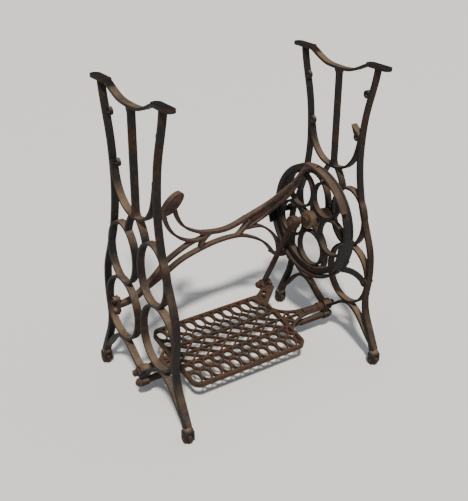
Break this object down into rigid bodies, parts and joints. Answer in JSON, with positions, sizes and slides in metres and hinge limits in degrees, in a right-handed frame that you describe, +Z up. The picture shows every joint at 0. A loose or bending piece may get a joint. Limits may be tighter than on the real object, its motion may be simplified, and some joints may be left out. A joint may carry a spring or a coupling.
{
  "type": "treadle sewing table base",
  "caption": "Antique cast-iron treadle base of a sewing table: openwork side castings, lattice foot treadle, pitman rod, looped drive wheel, wheel guard and arched brace.",
  "frame": {"origin": "on the floor, midway between the two side castings", "axes": "+Z up, +X towards the side with the drive wheel, -Y towards the operator"},
  "size_m": [0.5724, 0.392, 0.71],
  "materials": {
    "frame_iron": "worn black paint over weathered cast iron",
    "brace_iron": "brown weathered cast iron",
    "wheel_iron": "worn black paint over weathered cast iron",
    "treadle_iron": "evenly rusted cast iron",
    "sleeve_iron": "tan rust",
    "rod_iron": "brown rust",
    "caster_iron": "red-brown rust",
    "rusty_fasteners": "rust"
  },
  "bodies": {
    "base": {"left_frame": "frame_iron", "right_frame": "frame_iron", "back_brace": "brace_iron", "wheel_guard": "frame_iron", "brace_bolts": "rusty_fasteners", "guard_bolts": "rusty_fasteners", "caster_pins": "rusty_fasteners", "wheel_axle": "rusty_fasteners", "axle_sleeve": "sleeve_iron", "axle_nut": "rusty_fasteners", "treadle_pivot_screws": "rusty_fasteners", "treadle_lock_nuts": "rusty_fasteners", "tie_rod": "rod_iron", "tie_rod_nuts": "rusty_fasteners"},
    "drive_wheel": {"drive_wheel": "wheel_iron"},
    "treadle": {"treadle": "treadle_iron", "treadle_lug_bolt": "rusty_fasteners"},
    "pitman": {"pitman_rod": "rod_iron", "pitman_bearing": "rusty_fasteners", "pitman_top_screw": "rusty_fasteners"},
    "caster_wheel_left_front": {"caster_wheel_left_front": "caster_iron"},
    "caster_wheel_left_back": {"caster_wheel_left_back": "caster_iron"},
    "caster_wheel_right_front": {"caster_wheel_right_front": "caster_iron"},
    "caster_wheel_right_back": {"caster_wheel_right_back": "caster_iron"}
  },
  "joints": [
    {"name": "wheel_spin", "type": "hinge", "parent": "base", "child": "drive_wheel", "pos_m": [0.205, 0, 0.328], "axis": [1, 0, 0], "continuous": true},
    {"name": "treadle_rock", "type": "hinge", "parent": "base", "child": "treadle", "pos_m": [0, 0, 0.078], "axis": [1, 0, 0], "range_deg": [-2.5, 17.5]},
    {"name": "pitman_swing", "type": "hinge", "parent": "treadle", "child": "pitman", "pos_m": [0.165, 0.13401, 0.10648], "axis": [1, 0, 0], "range_deg": [-13, 6]},
    {"name": "caster_roll_left_front", "type": "hinge", "parent": "base", "child": "caster_wheel_left_front", "pos_m": [-0.261, -0.183, 0.013], "axis": [1, 0, 0], "continuous": true},
    {"name": "caster_roll_left_back", "type": "hinge", "parent": "base", "child": "caster_wheel_left_back", "pos_m": [-0.261, 0.183, 0.013], "axis": [1, 0, 0], "continuous": true},
    {"name": "caster_roll_right_front", "type": "hinge", "parent": "base", "child": "caster_wheel_right_front", "pos_m": [0.261, -0.183, 0.013], "axis": [1, 0, 0], "continuous": true},
    {"name": "caster_roll_right_back", "type": "hinge", "parent": "base", "child": "caster_wheel_right_back", "pos_m": [0.261, 0.183, 0.013], "axis": [1, 0, 0], "continuous": true}
  ],
  "couplings": [
    {"joint": "pitman_swing", "follows": "treadle_rock", "ratio": -0.69}
  ]
}
